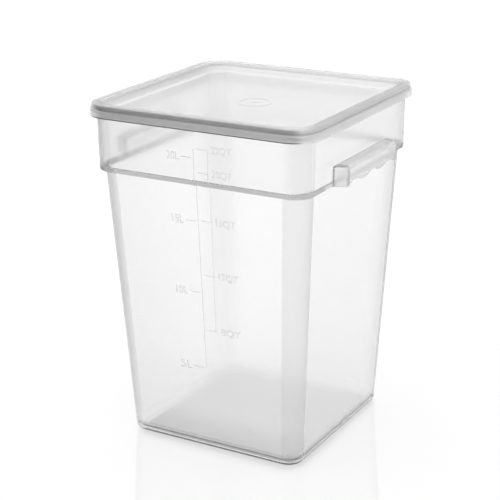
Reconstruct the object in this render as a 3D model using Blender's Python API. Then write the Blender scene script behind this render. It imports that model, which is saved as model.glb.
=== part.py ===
"""Square food storage container: a moulded tub with two side handles, and the snap lid that closes it.

Metres, +Z up. The origin is the middle of the base, on the surface that the tub stands on. The handles are
on the -X and +X sides. Both pieces are lofts of square outlines with rounded corners, taken round a closed
wall section, so a half width here is always the distance from the middle to the flat side.
"""
import math
from typing import NamedTuple

import bmesh
import bpy
from mathutils import Vector

# Tub: heights. The ledge is placed down from the mouth, so that the handles and the lid keep their room
TUB_HEIGHT = 0.4004
COLLAR_HEIGHT = 0.0752
LEDGE_HEIGHT = TUB_HEIGHT - COLLAR_HEIGHT

# Tub: outer half widths and corner radii. The collar's foot and the top of the body follow the mouth
MOUTH_HALF_WIDTH = 0.1356
COLLAR_DRAFT = 0.00085
LEDGE_REACH = 0.00415
COLLAR_FOOT_HALF_WIDTH = MOUTH_HALF_WIDTH - COLLAR_DRAFT
BODY_HALF_WIDTH = COLLAR_FOOT_HALF_WIDTH - LEDGE_REACH
BASE_HALF_WIDTH = 0.1118
BASE_CORNER_RADIUS = 0.019
BODY_CORNER_RADIUS = 0.0255
MOUTH_CORNER_RADIUS = 0.0235

# Tub: walls, floor and small radii
TUB_WALL = 0.0025
FLOOR_THICKNESS = 0.003
LEDGE_THICKNESS = 0.0045
LEDGE_EDGE_RADIUS = 0.0015
BASE_EDGE_RADIUS = 0.006
FLOOR_FILLET_RADIUS = 0.008
FOOT_WIDTH = 0.008
FOOT_HEIGHT = 0.001

# Tub: the lip that hooks over outside the mouth
LIP_REACH = 0.0033
LIP_WALL = 0.0016
LIP_TOP_THICKNESS = 0.0022
LIP_DEPTH = 0.005
LIP_EDGE_RADIUS = 0.0009

# Handles
HANDLE_LIFT = 0.0004
HANDLE_REACH = 0.0155
HANDLE_HEIGHT = 0.0228
HANDLE_HALF_LENGTH = 0.0695
HANDLE_END_SLANT = 0.0055
HANDLE_DRAFT = 0.001
HANDLE_WALL = 0.0022
HANDLE_CORNER_RADIUS = 0.006
HANDLE_ROOT_RADIUS = 0.009
HANDLE_EDGE_RADIUS = 0.0042
HANDLE_SEAT_SHARE = 0.6
HANDLE_ROOT_SHARE = 0.75

# Finger scallops in the handles' lower edges
SCALLOP_COUNT = 3
SCALLOP_PITCH = 0.0432
SCALLOP_WIDTH = 0.029
SCALLOP_DEPTH = 0.0042
SCALLOP_RAMP = 0.008
SCALLOP_RADIUS = 0.008
TOOTH_LIFT = 0.0008
TOOTH_RADIUS = 0.003

# Lid: clearances to the tub
SEAT_GAP = 0.0003
LIP_GAP = 0.0003
PLUG_GAP = 0.0005

# Lid: sizes measured down from the top of its crown, and out from its crown
LID_WALL = 0.0019
PANEL_DEPTH = 0.0132
VALLEY_DEPTH = 0.0064
SKIRT_DEPTH = 0.0148
SKIRT_STEP = 0.0019
VALLEY_INSET = 0.0006
PLUG_DRAFT = 0.0004
PANEL_FILLET_RADIUS = 0.0025
CROWN_INNER_RADIUS = 0.0012
CROWN_OUTER_RADIUS = 0.002
SKIRT_TOP_RADIUS = 0.0012
SKIRT_EDGE_RADIUS = 0.0005
CHANNEL_RADIUS = 0.0004
SNAP_BEAD_HEIGHT = 0.0024
SNAP_BEAD_FLAT_SHARE = 0.35
SNAP_BEAD_RISE = 0.0016

# Lid: the ring round the middle of the panel
CENTRE_RING_RADIUS = 0.0205
CENTRE_RING_WIDTH = 0.0016
CENTRE_RING_HEIGHT = 0.0005
CENTRE_RING_SLOPE_SHARE = 0.25

# How far a cut runs past what it cuts, and how far a raised mark is sunk into what carries it
OVERRUN = 0.004
MARK_SINK = 0.0006
WELD_DISTANCE = 0.00001

# Steps of the arcs
CORNER_STEPS = 10
EDGE_STEPS = 3
FLOOR_STEPS = 4
HANDLE_STEPS = 5
RING_STEPS = 48
SMOOTH_ANGLE = math.radians(35)

# Colours and finish
TUB_COLOUR = (0.90, 0.90, 0.90, 1.0)
LID_COLOUR = (0.86, 0.86, 0.86, 1.0)
TUB_ROUGHNESS = 0.35
LID_ROUGHNESS = 0.45


class Ring(NamedTuple):
    """A square outline with rounded corners, at one height."""

    half: float
    corner: float
    height: float


class Corner(NamedTuple):
    """A corner of an outline, and the radius that rounds it."""

    x: float
    y: float
    radius: float


def mix(start, end, share):
    """Value that lies the given share of the way from start to end."""
    return start + (end - start) * share


def body_half(height):
    """Outer half width of the tapered body at a height."""
    return mix(BASE_HALF_WIDTH, BODY_HALF_WIDTH, height / LEDGE_HEIGHT)


def body_corner(height):
    """Outer corner radius of the tapered body at a height."""
    return mix(BASE_CORNER_RADIUS, BODY_CORNER_RADIUS, height / LEDGE_HEIGHT)


def collar_half(height):
    """Outer half width of the upright collar at a height."""
    share = (height - LEDGE_HEIGHT) / (TUB_HEIGHT - LEDGE_HEIGHT)
    return mix(COLLAR_FOOT_HALF_WIDTH, MOUTH_HALF_WIDTH, share)


def body_ring(inset, height, level=None):
    """Ring of the body at a height, moved in by inset, and laid at another level where one is given."""
    ring_height = height if level is None else level
    return Ring(body_half(height) - inset, body_corner(height) - inset, ring_height)


def mouth_ring(half, height):
    """Ring round the same corner centres as the mouth, so that the gaps between such rings are even."""
    return Ring(half, MOUTH_CORNER_RADIUS + half - MOUTH_HALF_WIDTH, height)


def quarter_arc(centre_half, centre_height, radius, start_degrees, end_degrees, steps=EDGE_STEPS):
    """Points (half width, height) along an arc of a wall section."""
    points = []
    for step in range(steps + 1):
        angle = math.radians(mix(start_degrees, end_degrees, step / steps))
        points.append((centre_half + radius * math.cos(angle), centre_height + radius * math.sin(angle)))
    return points


def rounded_outline(corners, steps):
    """Points of a closed outline whose corners are rounded by their radii."""
    points = []
    for index, corner in enumerate(corners):
        here = Vector((corner.x, corner.y))
        before = Vector(corners[index - 1][:2]) - here
        after = Vector(corners[(index + 1) % len(corners)][:2]) - here
        if corner.radius == 0:
            points.append(here)
            continue
        half_angle = before.angle(after) / 2
        middle = (before.normalized() + after.normalized()).normalized()
        centre = here + middle * (corner.radius / math.sin(half_angle))
        start = here + before.normalized() * (corner.radius / math.tan(half_angle)) - centre
        end = here + after.normalized() * (corner.radius / math.tan(half_angle)) - centre
        turn = start.angle_signed(end)
        for step in range(steps + 1):
            angle = -turn * step / steps
            cosine = math.cos(angle)
            sine = math.sin(angle)
            spoke = Vector((start.x * cosine - start.y * sine, start.x * sine + start.y * cosine))
            points.append(centre + spoke)
    return points


def square_outline(ring):
    """Outline points of a ring."""
    signs = ((1, 1), (-1, 1), (-1, -1), (1, -1))
    corners = [Corner(sign_x * ring.half, sign_y * ring.half, ring.corner) for sign_x, sign_y in signs]
    return rounded_outline(corners, CORNER_STEPS)


def loft_loops(bm, loops):
    """Adds a closed skin through loops of equally many points, capped on the first and the last loop."""
    verts = [[bm.verts.new(point) for point in loop] for loop in loops]
    for lower, upper in zip(verts, verts[1:]):
        for index in range(len(lower)):
            bm.faces.new((lower[index - 1], lower[index], upper[index], upper[index - 1]))
    bm.faces.new(verts[0])
    bm.faces.new(verts[-1])
    return verts


def finish_mesh(name, bm):
    """Turns a closed bmesh into a mesh with its faces pointing out and its round parts smooth."""
    bmesh.ops.recalc_face_normals(bm, faces=bm.faces)
    mesh = bpy.data.meshes.new(name)
    bm.to_mesh(mesh)
    bm.free()
    mesh.shade_smooth()
    mesh.set_sharp_from_angle(angle=SMOOTH_ANGLE)
    return mesh


def link_object(name, mesh):
    """Puts a mesh into the scene as a named object."""
    piece = bpy.data.objects.new(name, mesh)
    bpy.context.scene.collection.objects.link(piece)
    return piece


def make_guide(piece):
    """Marks an object as a shape that only cuts or joins others."""
    piece.hide_render = True
    piece.display_type = 'WIRE'
    return piece


def loft_rings(name, rings):
    """Closed solid whose skin passes through the rings in order and is capped on the first and the last."""
    bm = bmesh.new()
    loft_loops(bm, [[(x, y, ring.height) for x, y in square_outline(ring)] for ring in rings])
    return finish_mesh(name, bm)


def boolean(piece, other, operation):
    """Cuts or joins another object's shape from or to a piece."""
    modifier = piece.modifiers.new(other.name, 'BOOLEAN')
    modifier.operation = operation
    modifier.solver = 'EXACT'
    modifier.object = other


def weld(piece):
    """Merges the doubled points that a join can leave where three surfaces meet."""
    modifier = piece.modifiers.new("weld", 'WELD')
    modifier.merge_threshold = WELD_DISTANCE


def apply_modifiers(piece):
    """Turns a piece and its cuts and joins into one plain mesh, with its sharp edges marked."""
    depsgraph = bpy.context.evaluated_depsgraph_get()
    mesh = bpy.data.meshes.new_from_object(piece.evaluated_get(depsgraph))
    mesh.name = piece.name
    mesh.shade_smooth()
    mesh.set_sharp_from_angle(angle=SMOOTH_ANGLE)
    piece.modifiers.clear()
    piece.data = mesh


def plastic(name, colour, roughness):
    """Plain plastic in one colour."""
    material = bpy.data.materials.new(name)
    material.use_nodes = True
    shader = material.node_tree.nodes['Principled BSDF']
    shader.inputs['Base Color'].default_value = colour
    shader.inputs['Roughness'].default_value = roughness
    shader.inputs['Metallic'].default_value = 0
    return material


def underside_rings():
    """The raised middle of the base, the foot round it, and the rounded lower edge."""
    edge_half = body_half(BASE_EDGE_RADIUS) - BASE_EDGE_RADIUS
    foot_inset = body_half(BASE_EDGE_RADIUS) - edge_half + FOOT_WIDTH
    rings = [
        body_ring(foot_inset + FOOT_HEIGHT, BASE_EDGE_RADIUS, FOOT_HEIGHT),
        body_ring(foot_inset, BASE_EDGE_RADIUS, 0),
    ]
    for half, height in quarter_arc(edge_half, BASE_EDGE_RADIUS, BASE_EDGE_RADIUS, -90, 0, FLOOR_STEPS):
        inset = body_half(BASE_EDGE_RADIUS) - half
        rings.append(body_ring(inset, BASE_EDGE_RADIUS, height))
    return rings


def ledge_rings():
    """The outside of the ledge, from the body out to the foot of the collar."""
    rings = [body_ring(0, LEDGE_HEIGHT)]
    centre_half = COLLAR_FOOT_HALF_WIDTH - LEDGE_EDGE_RADIUS
    centre_height = LEDGE_HEIGHT + LEDGE_EDGE_RADIUS
    for half, height in quarter_arc(centre_half, centre_height, LEDGE_EDGE_RADIUS, -90, 0):
        rings.append(mouth_ring(half, height))
    return rings


def lip_rings():
    """The lip: out from the collar, down over it, and round to the inner edge of the mouth."""
    lip_half = MOUTH_HALF_WIDTH + LIP_REACH
    hook_half = lip_half - LIP_WALL
    hook_height = TUB_HEIGHT - LIP_TOP_THICKNESS
    lip_foot = TUB_HEIGHT - LIP_DEPTH
    edge = LIP_WALL / 2
    section = [
        (collar_half(hook_height), hook_height),
        (hook_half, hook_height),
    ]
    section += quarter_arc(lip_half - edge, lip_foot + edge, edge, -180, 0, 2 * EDGE_STEPS)
    section += quarter_arc(
        lip_half - LIP_EDGE_RADIUS, TUB_HEIGHT - LIP_EDGE_RADIUS, LIP_EDGE_RADIUS, 0, 90)
    mouth_inner = MOUTH_HALF_WIDTH - TUB_WALL
    section += quarter_arc(
        mouth_inner + LIP_EDGE_RADIUS, TUB_HEIGHT - LIP_EDGE_RADIUS, LIP_EDGE_RADIUS, 90, 180)
    return [mouth_ring(half, height) for half, height in section]


def inner_rings():
    """The inside: down the collar, over the inner ledge, down the body and round to the floor."""
    step_height = LEDGE_HEIGHT + LEDGE_THICKNESS
    fillet_half = collar_half(step_height) - TUB_WALL - LEDGE_EDGE_RADIUS
    fillet = quarter_arc(fillet_half, step_height + LEDGE_EDGE_RADIUS, LEDGE_EDGE_RADIUS, 0, -90)
    rings = [mouth_ring(half, height) for half, height in fillet]
    shoulder_height = step_height - LEDGE_EDGE_RADIUS
    shoulder_half = body_half(LEDGE_HEIGHT) - TUB_WALL + LEDGE_EDGE_RADIUS
    for half, height in quarter_arc(shoulder_half, shoulder_height, LEDGE_EDGE_RADIUS, 90, 180):
        rings.append(body_ring(body_half(LEDGE_HEIGHT) - half, LEDGE_HEIGHT, height))
    floor_height = FOOT_HEIGHT + FLOOR_THICKNESS
    fillet_height = floor_height + FLOOR_FILLET_RADIUS
    fillet_half = body_half(fillet_height) - TUB_WALL - FLOOR_FILLET_RADIUS
    for half, height in quarter_arc(fillet_half, fillet_height, FLOOR_FILLET_RADIUS, 0, -90, FLOOR_STEPS):
        rings.append(body_ring(body_half(fillet_height) - half, fillet_height, height))
    return rings


def handle_foot():
    """Height of the handles' lower edge, just above the underside of the ledge."""
    return LEDGE_HEIGHT + HANDLE_LIFT


def handle_top():
    """Height of the handles' upper side."""
    return handle_foot() + HANDLE_HEIGHT


def handle_seat_x():
    """Place inside the +X collar wall where the handle's ends are measured from."""
    return COLLAR_FOOT_HALF_WIDTH - TUB_WALL * HANDLE_SEAT_SHARE


def handle_outer_x():
    """Places of the +X handle's outer face at its lower and its upper edge."""
    upper_x = COLLAR_FOOT_HALF_WIDTH + HANDLE_REACH
    return upper_x - HANDLE_DRAFT, upper_x


def handle_end_y(outer_x, inset, x):
    """Distance from the middle to the handle's slanted end at x, with the end moved in by inset."""
    slant = HANDLE_END_SLANT / (outer_x - handle_seat_x())
    return HANDLE_HALF_LENGTH - inset * math.hypot(1, slant) - slant * (x - handle_seat_x())


def handle_outline(outer_x, inset=0):
    """Plan of the +X handle: slanted ends, rounded corners, and roots that flare into the collar."""
    front_x = outer_x - inset
    seat_x = handle_seat_x()
    root_x = COLLAR_FOOT_HALF_WIDTH - TUB_WALL * HANDLE_ROOT_SHARE
    flare_y = HANDLE_HALF_LENGTH + 2 * HANDLE_ROOT_RADIUS
    upper = [
        Corner(front_x, handle_end_y(outer_x, inset, front_x), HANDLE_CORNER_RADIUS - inset),
        Corner(seat_x, handle_end_y(outer_x, inset, seat_x), HANDLE_ROOT_RADIUS + inset),
        Corner(seat_x, flare_y, 0),
        Corner(root_x, flare_y, 0),
    ]
    lower = [Corner(corner.x, -corner.y, corner.radius) for corner in reversed(upper)]
    return rounded_outline(lower + upper, HANDLE_STEPS)


def pocket_outline(outer_x, inset):
    """Plan of the hollow inside the +X handle, moved in from its outline and open to the collar."""
    back_x = handle_seat_x() - OVERRUN
    front_x = outer_x - inset
    back_y = handle_end_y(outer_x, inset, back_x)
    front_y = handle_end_y(outer_x, inset, front_x)
    corner_radius = HANDLE_CORNER_RADIUS - inset
    corners = [
        Corner(back_x, -back_y, 0),
        Corner(front_x, -front_y, corner_radius),
        Corner(front_x, front_y, corner_radius),
        Corner(back_x, back_y, 0),
    ]
    return rounded_outline(corners, HANDLE_STEPS)


def raised(outline, height):
    """Points of a plan laid at a height."""
    return [(x, y, height) for x, y in outline]


def build_handle_block():
    """The handle's outer shape, with its upper edge rounded."""
    lower_x, upper_x = handle_outer_x()
    loops = [raised(handle_outline(lower_x), handle_foot())]
    for reach, height in quarter_arc(0, handle_top() - HANDLE_EDGE_RADIUS, HANDLE_EDGE_RADIUS, 0, 90):
        loops.append(raised(handle_outline(upper_x, HANDLE_EDGE_RADIUS - reach), height))
    bm = bmesh.new()
    loft_loops(bm, loops)
    return link_object("handle_grips", finish_mesh("handle_grips", bm))


def build_pocket():
    """The hollow of the handle, open below, with a rounded edge round its ceiling."""
    lower_x, _ = handle_outer_x()
    radius = HANDLE_EDGE_RADIUS - HANDLE_WALL
    loops = [raised(pocket_outline(lower_x, HANDLE_WALL), handle_foot() - OVERRUN)]
    for reach, height in quarter_arc(0, handle_top() - HANDLE_EDGE_RADIUS, radius, 0, 90):
        loops.append(raised(pocket_outline(lower_x, HANDLE_EDGE_RADIUS - reach), height))
    bm = bmesh.new()
    loft_loops(bm, loops)
    return make_guide(link_object("handle_pocket", finish_mesh("handle_pocket", bm)))


def build_scallops():
    """The wave of finger scallops that is cut up into the handle's outer wall, with blunt teeth between."""
    tooth_height = handle_foot() + TOOTH_LIFT
    top_height = handle_foot() + SCALLOP_DEPTH
    half_run = SCALLOP_WIDTH / 2 + SCALLOP_PITCH * (SCALLOP_COUNT - 1) / 2
    corners = [Corner(-half_run, handle_foot() - OVERRUN, 0)]
    for index in range(SCALLOP_COUNT):
        centre = SCALLOP_PITCH * (index - (SCALLOP_COUNT - 1) / 2)
        start = centre - SCALLOP_WIDTH / 2
        end = centre + SCALLOP_WIDTH / 2
        corners.append(Corner(start, tooth_height, TOOTH_RADIUS if index > 0 else 0))
        corners.append(Corner(start + SCALLOP_RAMP, top_height, SCALLOP_RADIUS))
        corners.append(Corner(end - SCALLOP_RAMP, top_height, SCALLOP_RADIUS))
        corners.append(Corner(end, tooth_height, TOOTH_RADIUS if index < SCALLOP_COUNT - 1 else 0))
    corners.append(Corner(half_run, handle_foot() - OVERRUN, 0))
    outline = rounded_outline(corners, HANDLE_STEPS)
    lower_x, upper_x = handle_outer_x()
    inner_x = lower_x - HANDLE_CORNER_RADIUS
    outer_x = upper_x + OVERRUN
    bm = bmesh.new()
    loft_loops(bm, [[(x, y, z) for y, z in outline] for x in (inner_x, outer_x)])
    return make_guide(link_object("handle_scallops", finish_mesh("handle_scallops", bm)))


def build_handles():
    """Both handles: one hollow, scalloped grip and its mirror image on the other side."""
    grips = build_handle_block()
    boolean(grips, build_pocket(), 'DIFFERENCE')
    boolean(grips, build_scallops(), 'DIFFERENCE')
    mirror = grips.modifiers.new("other_side", 'MIRROR')
    mirror.use_axis[0] = True
    mirror.use_mirror_merge = False
    mirror.merge_threshold = WELD_DISTANCE
    return make_guide(grips)


def build_tub():
    """The tub: one wall section taken round the square, and the handles joined to its collar."""
    rings = underside_rings() + ledge_rings() + lip_rings() + inner_rings()
    tub = link_object("container_tub", loft_rings("container_tub", rings))
    boolean(tub, build_handles(), 'UNION')
    weld(tub)
    apply_modifiers(tub)
    tub.data.materials.append(plastic("natural_tub_plastic", TUB_COLOUR, TUB_ROUGHNESS))
    return tub


def lid_top_section(crown_top, crown_half, plug_half):
    """Upper side of the lid: panel edge, plug wall, crown, valley and skirt."""
    panel_top = crown_top - PANEL_DEPTH
    valley = crown_top - VALLEY_DEPTH
    skirt_foot = crown_top - SKIRT_DEPTH
    skirt_half = crown_half + SKIRT_STEP
    recess_half = plug_half - LID_WALL
    panel_half = recess_half - PLUG_DRAFT
    section = quarter_arc(
        panel_half - PANEL_FILLET_RADIUS, panel_top + PANEL_FILLET_RADIUS, PANEL_FILLET_RADIUS, -90, 0)
    section += quarter_arc(
        recess_half + CROWN_INNER_RADIUS, crown_top - CROWN_INNER_RADIUS, CROWN_INNER_RADIUS, 180, 90)
    section += quarter_arc(
        crown_half - CROWN_OUTER_RADIUS, crown_top - CROWN_OUTER_RADIUS, CROWN_OUTER_RADIUS, 90, 0)
    section += [
        (crown_half, valley + 2 * VALLEY_INSET),
        (crown_half - VALLEY_INSET, valley + VALLEY_INSET),
        (crown_half, valley),
    ]
    section += quarter_arc(
        skirt_half - SKIRT_TOP_RADIUS, valley - SKIRT_TOP_RADIUS, SKIRT_TOP_RADIUS, 90, 0)
    section += quarter_arc(
        skirt_half - SKIRT_EDGE_RADIUS, skirt_foot + SKIRT_EDGE_RADIUS, SKIRT_EDGE_RADIUS, 0, -90)
    return section


def lid_under_section(crown_top, crown_half, plug_half):
    """Under side of the lid: skirt, snap bead, the channel that the lip sits in, and the plug."""
    skirt_inner = crown_half + SKIRT_STEP - LID_WALL
    skirt_foot = crown_top - SKIRT_DEPTH
    channel_half = crown_half - LID_WALL
    channel_top = crown_top - LID_WALL
    shelf = crown_top - VALLEY_DEPTH - LID_WALL
    bead_start = skirt_foot + SNAP_BEAD_RISE
    bead_ramp = SNAP_BEAD_HEIGHT * (1 - SNAP_BEAD_FLAT_SHARE) / 2
    section = quarter_arc(
        skirt_inner + SKIRT_EDGE_RADIUS, skirt_foot + SKIRT_EDGE_RADIUS, SKIRT_EDGE_RADIUS, -90, -180)
    section += [
        (skirt_inner, bead_start),
        (channel_half, bead_start + bead_ramp),
        (channel_half, bead_start + SNAP_BEAD_HEIGHT - bead_ramp),
        (skirt_inner, bead_start + SNAP_BEAD_HEIGHT),
        (skirt_inner, shelf - SKIRT_EDGE_RADIUS),
        (skirt_inner - SKIRT_EDGE_RADIUS, shelf),
        (channel_half, shelf + CHANNEL_RADIUS),
    ]
    section += quarter_arc(
        channel_half - CHANNEL_RADIUS, channel_top - CHANNEL_RADIUS, CHANNEL_RADIUS, 0, 90)
    section += quarter_arc(
        plug_half + CHANNEL_RADIUS, channel_top - CHANNEL_RADIUS, CHANNEL_RADIUS, 90, 180)
    plug_radius = PANEL_FILLET_RADIUS + LID_WALL
    panel_under = crown_top - PANEL_DEPTH - LID_WALL
    section += quarter_arc(
        plug_half - PLUG_DRAFT - plug_radius, panel_under + plug_radius, plug_radius, 0, -90)
    return section


def build_centre_ring(panel_top):
    """The low ring round the middle of the lid's panel."""
    inner = CENTRE_RING_RADIUS - CENTRE_RING_WIDTH / 2
    outer = CENTRE_RING_RADIUS + CENTRE_RING_WIDTH / 2
    top = panel_top + CENTRE_RING_HEIGHT
    foot = panel_top - MARK_SINK
    section = (
        (inner, foot),
        (outer, foot),
        (outer, panel_top),
        (mix(outer, inner, CENTRE_RING_SLOPE_SHARE), top),
        (mix(inner, outer, CENTRE_RING_SLOPE_SHARE), top),
        (inner, panel_top),
    )
    bm = bmesh.new()
    profile = bm.faces.new([bm.verts.new((radius, 0, height)) for radius, height in section])
    edges = list(profile.edges)
    bm.faces.remove(profile)
    bmesh.ops.spin(
        bm, geom=edges, cent=(0, 0, 0), axis=(0, 0, 1), angle=math.tau, steps=RING_STEPS,
        use_merge=True, use_duplicate=False)
    return make_guide(link_object("centre_ring", finish_mesh("centre_ring", bm)))


def build_lid():
    """The lid, whose origin is on the lift axis at the height of its seat on the lip."""
    plug_half = MOUTH_HALF_WIDTH - TUB_WALL - PLUG_GAP
    crown_half = MOUTH_HALF_WIDTH + LIP_REACH + LIP_GAP + LID_WALL
    section = lid_top_section(LID_WALL, crown_half, plug_half)
    section += lid_under_section(LID_WALL, crown_half, plug_half)
    rings = [mouth_ring(half, height) for half, height in section]
    lid = link_object("snap_lid", loft_rings("snap_lid", rings))
    boolean(lid, build_centre_ring(LID_WALL - PANEL_DEPTH), 'UNION')
    apply_modifiers(lid)
    lid.location = Vector((0, 0, TUB_HEIGHT + SEAT_GAP))
    lid.data.materials.append(plastic("natural_lid_plastic", LID_COLOUR, LID_ROUGHNESS))
    return lid


def clear_scene():
    """Removes the objects that the scene holds."""
    for piece in list(bpy.data.objects):
        bpy.data.objects.remove(piece)


def main():
    """Builds the tub and its lid."""
    clear_scene()
    build_tub()
    build_lid()


main()
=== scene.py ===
"""Dresses the square food storage container: a moulded tub with two side handles, and its clip-on lid.

Metres, +Z up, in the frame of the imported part. Each sub-assembly is a class that holds its sizes, builds its
mesh with bmesh operators and dresses it. The walls are grown ring by ring from one rounded outline: foot,
wall, ledge, collar, lip and back down the inside.
"""

import logging
import math
from dataclasses import dataclass, replace
from enum import Enum
from typing import Any, Sequence

import bmesh
import bpy
from mathutils import Matrix, Vector


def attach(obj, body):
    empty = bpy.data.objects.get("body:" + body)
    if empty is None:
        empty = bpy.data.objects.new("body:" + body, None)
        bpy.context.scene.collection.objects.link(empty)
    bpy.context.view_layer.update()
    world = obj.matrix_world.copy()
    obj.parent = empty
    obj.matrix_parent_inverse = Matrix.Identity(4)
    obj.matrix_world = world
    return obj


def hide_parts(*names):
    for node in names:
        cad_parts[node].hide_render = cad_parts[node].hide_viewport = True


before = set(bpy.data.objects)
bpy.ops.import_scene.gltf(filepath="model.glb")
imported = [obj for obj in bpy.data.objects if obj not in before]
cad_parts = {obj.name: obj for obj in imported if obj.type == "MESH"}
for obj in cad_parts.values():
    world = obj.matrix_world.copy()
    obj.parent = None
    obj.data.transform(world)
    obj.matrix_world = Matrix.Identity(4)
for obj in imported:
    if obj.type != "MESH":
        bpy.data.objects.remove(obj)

LOG = logging.getLogger("food_container")
IMAGE_SIZE = 500
AIM_HEIGHT = 0.2
CORNER_STEPS = 24
EDGE_STEPS = 6
SPIN_STEPS = 72
WELD = 0.00001
FACE_WEIGHT = 80
# Ends of a zone's span that has no end of its own: under the foot, and past everything
BELOW = -0.001
BEYOND = 1.0

Piece = bpy.types.Object
Tree = bpy.types.NodeTree
Socket = bpy.types.NodeSocket
Look = tuple[Socket, Socket]
Pair = tuple[float, float]
Section = list[Pair]


class Body(Enum):
    """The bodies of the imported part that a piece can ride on."""

    CONTAINER = "container"
    LID = "lid"


class Slot(Enum):
    """The material slots that a finish can stand for."""

    TUB = "tub"
    LID = "lid"


class Join(Enum):
    """How one solid is joined to or cut from another."""

    ADD = "UNION"
    CUT = "DIFFERENCE"


# Outlines and solids


@dataclass(frozen=True)
class Corner:
    """A corner of an outline, and the radius that rounds it."""

    x: float
    y: float
    radius: float = 0.0


@dataclass(frozen=True)
class Ring:
    """A square outline with rounded corners, at one height."""

    half: float
    corner: float
    height: float

    def corners(self) -> list[Corner]:
        """Returns the four corners of the outline."""
        signs = ((1, 1), (-1, 1), (-1, -1), (1, -1))
        return [Corner(x * self.half, y * self.half, self.corner) for x, y in signs]


def mix(start: float, end: float, share: float) -> float:
    """Returns the value that lies the given share of the way from start to end."""
    return start + (end - start) * share


def arc(
    half: float, height: float, radius: float, start: float, end: float, steps: int = EDGE_STEPS
) -> Section:
    """Points along an arc of a wall section.

    Args:
        half: Half width of the arc's centre.
        height: Height of the arc's centre.
        radius: Radius of the arc.
        start: Angle of the first point, in degrees.
        end: Angle of the last point, in degrees.
        steps: Number of steps along the arc.

    Returns:
        Pairs of half width and height.
    """
    angles = [math.radians(mix(start, end, step / steps)) for step in range(steps + 1)]
    return [(half + radius * math.cos(angle), height + radius * math.sin(angle)) for angle in angles]


class GrownSolid:
    """A closed skin that starts as one rounded outline and grows by extruding its cap."""

    def __init__(self, corners: Sequence[Corner], height: float, steps: int) -> None:
        """Draws the first outline and rounds its corners.

        Args:
            corners: Corners of the outline, in order round it.
            height: Height of the outline.
            steps: Steps of each rounded corner.
        """
        self.bm = bmesh.new()
        self.height = height
        self.corners = corners
        points = [self.bm.verts.new((corner.x, corner.y, height)) for corner in corners]
        sides = [self.bm.edges.new(pair) for pair in zip(points, points[1:] + points[:1])]
        bmesh.ops.edgeloop_fill(self.bm, edges=sides)
        self.groups = [[point] for point in points]
        for index, corner in enumerate(corners):
            if corner.radius > 0:
                _, half_angle = self._centre(corners, index, height)
                self.groups[index] = bmesh.ops.bevel(
                    self.bm, geom=self.groups[index], offset=corner.radius / math.tan(half_angle),
                    offset_type='OFFSET', segments=steps, profile=0.5, affect='VERTICES',
                    material=-1)["verts"]
        self.bm.faces.ensure_lookup_table()
        self.cap = self.bm.faces[0]
        self.started = False

    def _centre(self, corners: Sequence[Corner], index: int, height: float) -> tuple[Vector, float]:
        """Centre of the arc that rounds a corner, which is the corner itself where it is sharp.

        Args:
            corners: Corners of the outline.
            index: Which corner.
            height: Height of the outline.

        Returns:
            The centre, and half the angle between the corner's two sides.
        """
        points = [Vector((corner.x, corner.y, height)) for corner in corners]
        here = points[index]
        back = (points[index - 1] - here).normalized()
        ahead = (points[(index + 1) % len(points)] - here).normalized()
        half_angle = back.angle(ahead) / 2
        inward = (back + ahead).normalized()
        return here + inward * (corners[index].radius / math.sin(half_angle)), half_angle

    def grow(self, corners: Sequence[Corner], height: float) -> None:
        """Extrudes the cap to a further outline.

        Args:
            corners: The same corners as before, at their new places and with their new radii.
            height: Height of the new outline.
        """
        made = bmesh.ops.extrude_face_region(self.bm, geom=[self.cap])["geom"]
        fresh = {item for item in made if isinstance(item, bmesh.types.BMVert)}
        if self.started:
            bmesh.ops.delete(self.bm, geom=[self.cap], context='FACES_ONLY')
        self.started = True
        self.cap = next(item for item in made if isinstance(item, bmesh.types.BMFace))
        for index, group in enumerate(self.groups):
            moved = [
                edge.other_vert(vert) for vert in group for edge in vert.link_edges
                if edge.other_vert(vert) in fresh]
            old_centre, _ = self._centre(self.corners, index, self.height)
            centre, _ = self._centre(corners, index, height)
            if corners[index].radius > 0:
                share = corners[index].radius / self.corners[index].radius
                bmesh.ops.scale(
                    self.bm, vec=(share, share, 1), space=Matrix.Translation(-old_centre), verts=moved)
            bmesh.ops.translate(self.bm, vec=centre - old_centre, verts=moved)
            self.groups[index] = moved
        self.corners = corners
        self.height = height


def grow_rings(name: str, rings: Sequence[Ring]) -> Piece:
    """Grows a closed solid through rings.

    Args:
        name: Name of the object.
        rings: The rings in order, of which the first and the last are capped.

    Returns:
        The new object.
    """
    solid = GrownSolid(rings[0].corners(), rings[0].height, CORNER_STEPS)
    for ring in rings[1:]:
        solid.grow(ring.corners(), ring.height)
    return add_piece(name, solid.bm)


def add_piece(name: str, bm: bmesh.types.BMesh) -> Piece:
    """Turns a bmesh with its faces pointing out into an object, and frees it.

    Args:
        name: Name of the object and its mesh.
        bm: The bmesh.

    Returns:
        The new object.
    """
    bmesh.ops.recalc_face_normals(bm, faces=bm.faces)
    mesh = bpy.data.meshes.new(name)
    bm.to_mesh(mesh)
    bm.free()
    piece = bpy.data.objects.new(name, mesh)
    bpy.context.scene.collection.objects.link(piece)
    return piece


def spin_section(name: str, section: Section, closed: bool) -> Piece:
    """Spins a section once round the upright axis.

    Args:
        name: Name of the object.
        section: Points of the section, as radius and height.
        closed: Whether the section is a loop that doesn't touch the axis.

    Returns:
        The new object.
    """
    bm = bmesh.new()
    points = [bm.verts.new((radius, 0, height)) for radius, height in section]
    edges = [bm.edges.new(pair) for pair in zip(points, points[1:])]
    if closed:
        edges.append(bm.edges.new((points[-1], points[0])))
    bmesh.ops.spin(
        bm, geom=edges, cent=(0, 0, 0), axis=(0, 0, 1), angle=math.tau, steps=SPIN_STEPS, use_merge=True,
        use_duplicate=False)
    bmesh.ops.remove_doubles(bm, verts=bm.verts, dist=2 * WELD)
    return add_piece(name, bm)


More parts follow.
